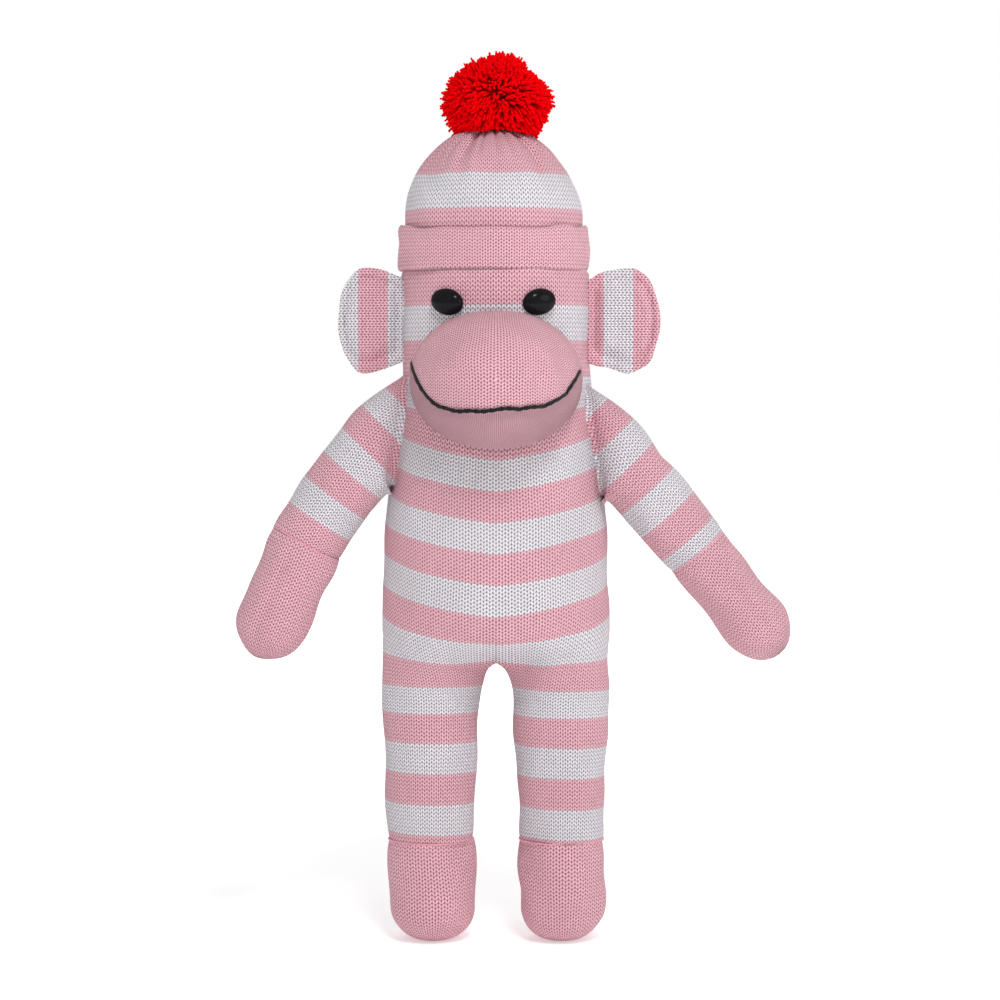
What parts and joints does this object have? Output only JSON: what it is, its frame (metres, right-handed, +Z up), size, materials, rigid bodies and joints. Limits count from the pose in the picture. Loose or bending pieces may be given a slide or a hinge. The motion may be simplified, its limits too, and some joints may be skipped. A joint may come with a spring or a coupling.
{
  "type": "stuffed monkey",
  "caption": "Standing striped knit stuffed monkey with a pompom hat; its head, ears, pompom, arms and legs move.",
  "frame": {"origin": "on the ground, under the middle of the toy's outline", "axes": "+Z up, the face looks towards -Y, +X is the monkey's own left"},
  "size_m": [0.249, 0.1151, 0.4054],
  "materials": {
    "striped_knit": "pink and white striped stockinette jersey of brushed cotton yarn, eight rows a stripe",
    "pink_knit": "plain pink stockinette jersey of brushed cotton yarn",
    "pink_thread": "pink sewing thread",
    "red_yarn": "cut red acrylic pompom yarn",
    "black_yarn": "black embroidery yarn",
    "black_eye_plastic": "polished black safety-eye plastic",
    "washer_plastic": "white moulded washer plastic",
    "fibrefill": "loose white polyester stuffing"
  },
  "bodies": {
    "torso": {"torso_skin": "striped_knit", "torso_stuffing": "fibrefill"},
    "head": {"head_skin": "striped_knit", "head_stuffing": "fibrefill", "muzzle_skin": "pink_knit", "muzzle_stuffing": "fibrefill", "mouth_yarn": "black_yarn", "eye_right": "black_eye_plastic", "eye_left": "black_eye_plastic", "eye_washer_right": "washer_plastic", "eye_washer_left": "washer_plastic", "hat_cuff": "pink_knit", "hat_crown": "striped_knit", "crown_gather_thread": "pink_thread"},
    "pompom": {"pompom": "red_yarn", "pompom_tie": "red_yarn"},
    "ear_right": {"ear_right": "striped_knit", "ear_batting_right": "fibrefill"},
    "shoulder_right": {"shoulder_seam_thread_right": "pink_thread", "sleeve_root_right": "striped_knit"},
    "arm_right": {"sleeve_right": "striped_knit", "wrist_seam_thread_right": "pink_thread", "hand_right": "pink_knit", "arm_stuffing_right": "fibrefill"},
    "leg_right": {"leg_skin_right": "striped_knit", "ankle_seam_thread_right": "pink_thread", "foot_skin_right": "pink_knit", "leg_stuffing_right": "fibrefill"},
    "ear_left": {"ear_left": "striped_knit", "ear_batting_left": "fibrefill"},
    "shoulder_left": {"shoulder_seam_thread_left": "pink_thread", "sleeve_root_left": "striped_knit"},
    "arm_left": {"sleeve_left": "striped_knit", "wrist_seam_thread_left": "pink_thread", "hand_left": "pink_knit", "arm_stuffing_left": "fibrefill"},
    "leg_left": {"leg_skin_left": "striped_knit", "ankle_seam_thread_left": "pink_thread", "foot_skin_left": "pink_knit", "leg_stuffing_left": "fibrefill"}
  },
  "joints": [
    {"name": "head_nod", "type": "hinge", "parent": "torso", "child": "head", "pos_m": [-0.00733, 0.01778, 0.262], "axis": [1, 0, 0], "range_deg": [-15, 5], "stiffness_Nm_per_rad": 1.2},
    {"name": "pompom_lean", "type": "hinge", "parent": "head", "child": "pompom", "pos_m": [-0.00733, 0.01778, 0.37235], "axis": [0, 1, 0], "range_deg": [-12, 12], "stiffness_Nm_per_rad": 0.02},
    {"name": "ear_fold_right", "type": "hinge", "parent": "head", "child": "ear_right", "pos_m": [-0.0537, 0.01178, 0.2826], "axis": [0, 0, 1], "range_deg": [-30, 60], "stiffness_Nm_per_rad": 0.01},
    {"name": "arm_swing_right", "type": "hinge", "parent": "torso", "child": "shoulder_right", "pos_m": [-0.05515, 0.00478, 0.208], "axis": [0.1199, 0, 0.9928], "range_deg": [-10, 60]},
    {"name": "arm_lift_right", "type": "hinge", "parent": "shoulder_right", "child": "arm_right", "pos_m": [-0.07209, 0.00478, 0.21227], "axis": [0, 1, 0], "range_deg": [-12, 60]},
    {"name": "leg_sit_right", "type": "hinge", "parent": "torso", "child": "leg_right", "pos_m": [-0.03723, 0.01778, 0.118], "axis": [-1, 0, 0], "range_deg": [-20, 90]},
    {"name": "ear_fold_left", "type": "hinge", "parent": "head", "child": "ear_left", "pos_m": [0.03903, 0.01178, 0.2826], "axis": [0, 0, -1], "range_deg": [-30, 60], "stiffness_Nm_per_rad": 0.01},
    {"name": "arm_swing_left", "type": "hinge", "parent": "torso", "child": "shoulder_left", "pos_m": [0.04101, 0.00478, 0.2035], "axis": [0.1267, 0, -0.9919], "range_deg": [-10, 60]},
    {"name": "arm_lift_left", "type": "hinge", "parent": "shoulder_left", "child": "arm_left", "pos_m": [0.05633, 0.00478, 0.20913], "axis": [0, -1, 0], "range_deg": [-12, 60]},
    {"name": "leg_sit_left", "type": "hinge", "parent": "torso", "child": "leg_left", "pos_m": [0.02257, 0.01778, 0.118], "axis": [-1, 0, 0], "range_deg": [-20, 90]}
  ]
}
